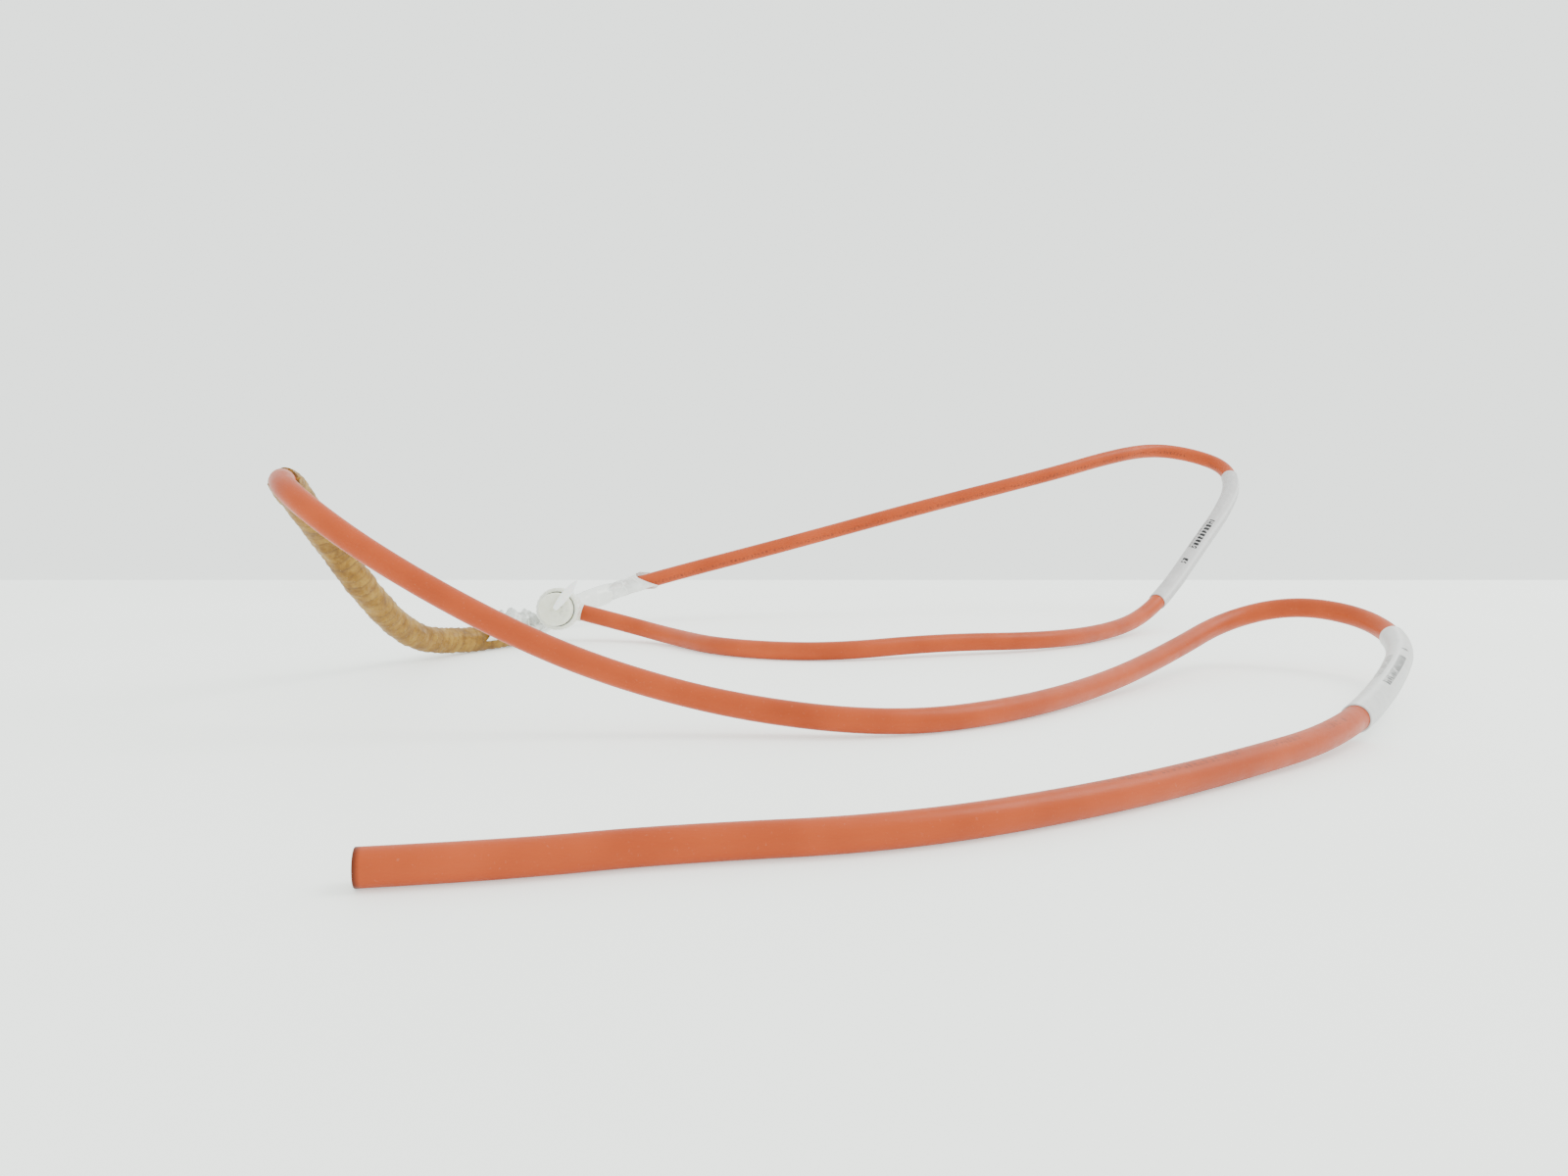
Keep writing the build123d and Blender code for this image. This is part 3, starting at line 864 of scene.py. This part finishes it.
def build_torn_end(material):
    """A torn end of film, about three quarters of the way round the cord, that flares off it."""
    root_radius, turns = 3.3 * MM, 0.78

    def tear(u, v):
        start, end = FILM_TORN
        slant = 0.006 * math.sin(2 * math.pi * v + 0.4)
        distance = start + (end - start) * u + slant * u
        angle = -2.1 + 2 * math.pi * turns * v - 0.7 * u
        relief = facets((u * 4, v * 7, 0), 14)
        place, out = line.outward(distance, angle)
        flare = 6.6 * max(0.0, u - 0.6) ** 2
        return place + out * (root_radius + (0.6 * relief + flare) * MM)

    piece = sheet_piece("film_torn_end", 40, 50, tear, material, thickness=0.00005)
    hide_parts("film_strips")
    return piece


def build_film():
    clear = film("clear_film", low_alpha=0.30, high_alpha=0.85, tint=(0.80, 0.82, 0.80), crease_scale=190)
    milky = film("milky_film", low_alpha=0.90, high_alpha=0.99, tint=(0.84, 0.86, 0.82), crease_scale=90)
    torn = film("torn_film", low_alpha=0.40, high_alpha=0.9, tint=(0.82, 0.84, 0.82), crease_scale=150)
    return build_crumple(clear), build_wrap(milky), build_torn_end(torn)


# ---- plug ----

# The pull tab leans by TAB_ANGLE from the cap's sideways direction; widths and thickness are half ones
TAB_ANGLE = math.radians(66)
TAB_LENGTH = 13.2 * MM
TAB_ROOT_WIDTH = 0.35 * MM
TAB_SWELL = 1.15 * MM
TAB_THICKNESS = 0.34 * MM
TAB_SECTIONS = 26
TAB_SIDES = 12

# From the cap's centre along the nose: its front face, which has a darker patch, and the foot of the pull tab
CAP_FACE = 3.6 * MM
TAB_FOOT = 4.2 * MM


def plug_axes():
    """The plug's nose direction, and the directions across and up from it."""
    nose = Vector(next(j["axis"] for j in frame["joints"] if j["name"] == "coupling_turn")).normalized()
    across = (line.at(line.length)[1] * -1).normalized()
    return nose, across, nose.cross(across).normalized()


def node_centre(name):
    low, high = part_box(name)
    return (low + high) / 2


def build_plug(fibre_material):
    """The plug keeps its CAD nodes, apart from the pull tab, and they get materials here."""
    nose, across, up = plug_axes()
    face = node_centre("dust_cap") + nose * CAP_FACE
    milky = milky_plastic("milky_ring", (0.80, 0.81, 0.76), warm=(0.74, 0.75, 0.66))
    cap_plastic = milky_plastic(
        "milky_cap", (0.76, 0.77, 0.68), tuple(face + across * 0.0012 + up * 0.0008), (0.70, 0.71, 0.56)
    )
    housing = milky_plastic("milky_housing", (0.78, 0.79, 0.74))
    nickel = metal("plated_metal", (0.66, 0.65, 0.62), 0.28)
    steel = metal("spring_steel", (0.45, 0.45, 0.46), 0.35)
    ceramic = plain("ceramic", (0.78, 0.77, 0.72), (0.88, 0.87, 0.83), 0.15, 300, 0.00001)
    rubber = plain("seal_rubber", (0.015, 0.015, 0.016), (0.035, 0.035, 0.036), 0.6, 900)
    finishes = {
        "plug_housing": housing, "back_cover": housing, "coupling_ring": milky,
        "dust_cap": cap_plastic, "crimp_tube": nickel, "nose_barrel": nickel,
        "spring_stop": nickel, "ferrule_holder": nickel, "ferrule_spring": steel,
        "retaining_clip": steel, "ferrule": ceramic, "seal_ring": rubber, "fibre_tail": fibre_material,
    }
    for name, material in finishes.items():
        nodes[name].data.materials.clear()
        nodes[name].data.materials.append(material)


def build_pull_tab():
    """A slim blade rising from the middle of the cap, widest about halfway up."""
    nose, across, up = plug_axes()
    root = node_centre("dust_cap") + nose * TAB_FOOT
    reach = across * math.cos(TAB_ANGLE) + up * math.sin(TAB_ANGLE)
    sideways = nose.cross(reach)
    vertices = []
    for section in range(TAB_SECTIONS):
        t = section / (TAB_SECTIONS - 1)
        swell = TAB_SWELL * math.sin(math.pi * min(1.0, t * 0.86 + 0.1)) ** 0.8
        width = (TAB_ROOT_WIDTH + swell) * (1 - t**9)
        thick = TAB_THICKNESS * (1 - 0.4 * t)
        centre = root + reach * (0.2 * MM + TAB_LENGTH * t) + nose * (0.1 + 0.4 * t * t) * MM
        for side in range(TAB_SIDES):
            angle = 2 * math.pi * side / TAB_SIDES
            vertices.append(centre + sideways * width * math.cos(angle) + nose * thick * math.sin(angle))
    faces = ring_faces(TAB_SECTIONS, TAB_SIDES, closed=False)
    faces.append(tuple(reversed(range(TAB_SIDES))))
    faces.append(tuple(range((TAB_SECTIONS - 1) * TAB_SIDES, TAB_SECTIONS * TAB_SIDES)))
    tab = make_piece("pull_strap", vertices, faces, tab_white(), "dust_cap")
    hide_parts("pull_tab")


# ---- build everything ----

add_camera()
add_world((0.95, 1.0, 0.96), 2.15)
add_area_light("key", (0.95, 0.10, 1.15), (0, 0, 0), 0.85, 15, (1.0, 0.99, 0.96))

add_table(table_white())

fibre_glass = clear_fibre()
jacket, layers = build_cord(fibre_glass)
labels = build_labels()
tape_pieces = build_tape()
films = build_film()
build_plug(fibre_glass)
build_pull_tab()
